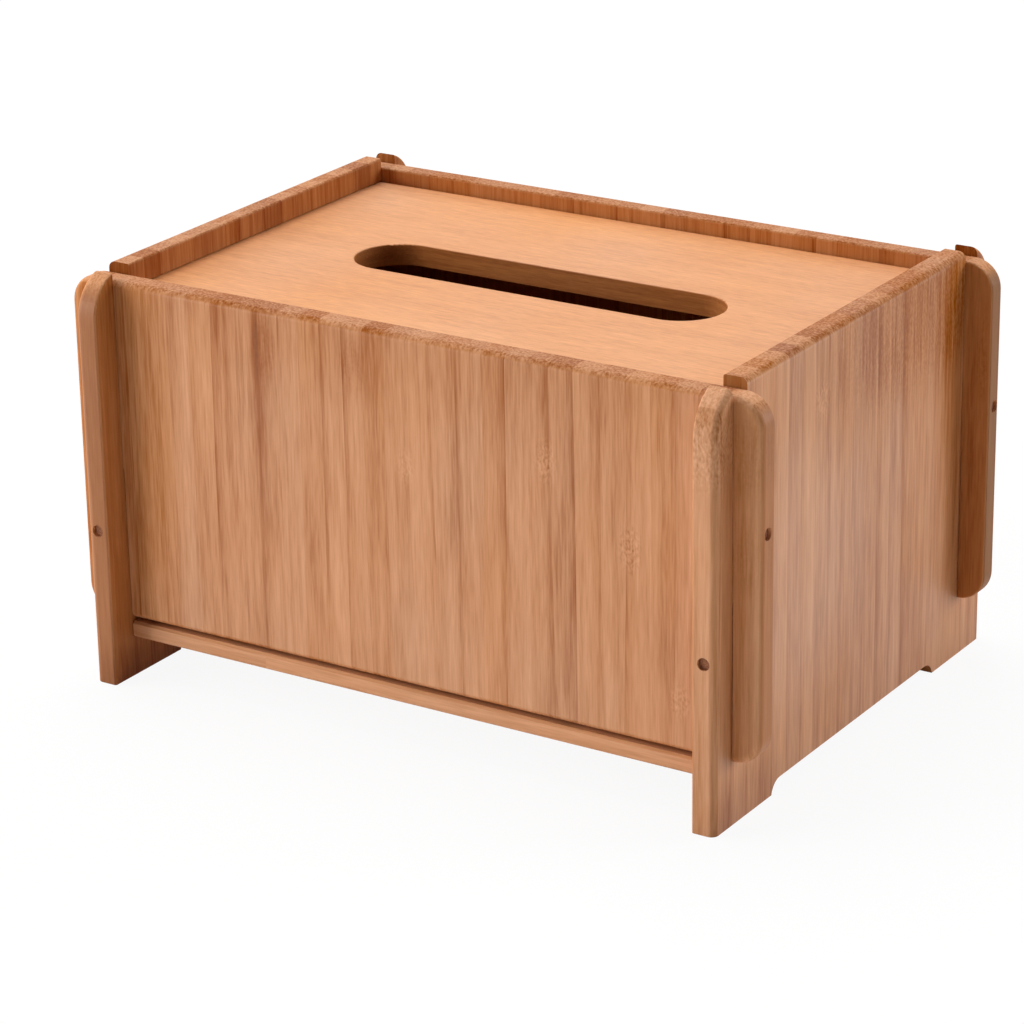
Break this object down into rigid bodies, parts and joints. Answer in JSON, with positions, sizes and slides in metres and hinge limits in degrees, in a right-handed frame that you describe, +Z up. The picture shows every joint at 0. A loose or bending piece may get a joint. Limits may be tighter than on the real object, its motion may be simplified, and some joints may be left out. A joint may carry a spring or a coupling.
{
  "type": "tissue box",
  "caption": "Knock-down bamboo tissue box: lapped boards with rounded ends, a slotted lid to draw tissues through and a base that slides out behind to refill it.",
  "frame": {"origin": "on the floor under the middle of the box", "axes": "+Z up, +X along the length to the right, -Y to the front"},
  "size_m": [0.19, 0.135, 0.105],
  "materials": {
    "bamboo_upright": "carbonised bamboo, upright grain, satin oil",
    "bamboo_lengthwise": "paler bamboo, lengthwise grain, satin oil",
    "bamboo_pin": "dark end grain"
  },
  "bodies": {
    "frame": {"left_panel": "bamboo_upright", "right_panel": "bamboo_upright", "top_panel": "bamboo_lengthwise", "left_panel_front_pin": "bamboo_pin", "left_panel_rear_pin": "bamboo_pin", "right_panel_front_pin": "bamboo_pin", "right_panel_rear_pin": "bamboo_pin"},
    "front": {"front_panel": "bamboo_upright", "front_panel_left_pin": "bamboo_pin", "front_panel_right_pin": "bamboo_pin"},
    "back": {"back_panel": "bamboo_upright", "back_panel_left_pin": "bamboo_pin", "back_panel_right_pin": "bamboo_pin"},
    "base": {"base_panel": "bamboo_lengthwise"}
  },
  "joints": [
    {"name": "front_panel_lift", "type": "slide", "parent": "frame", "child": "front", "axis": [0, 0, 1], "range_m": [0, 0.092]},
    {"name": "back_panel_lift", "type": "slide", "parent": "frame", "child": "back", "axis": [0, 0, 1], "range_m": [0, 0.092]},
    {"name": "base_slide", "type": "slide", "parent": "frame", "child": "base", "axis": [0, 1, 0], "range_m": [0, 0.13]}
  ]
}
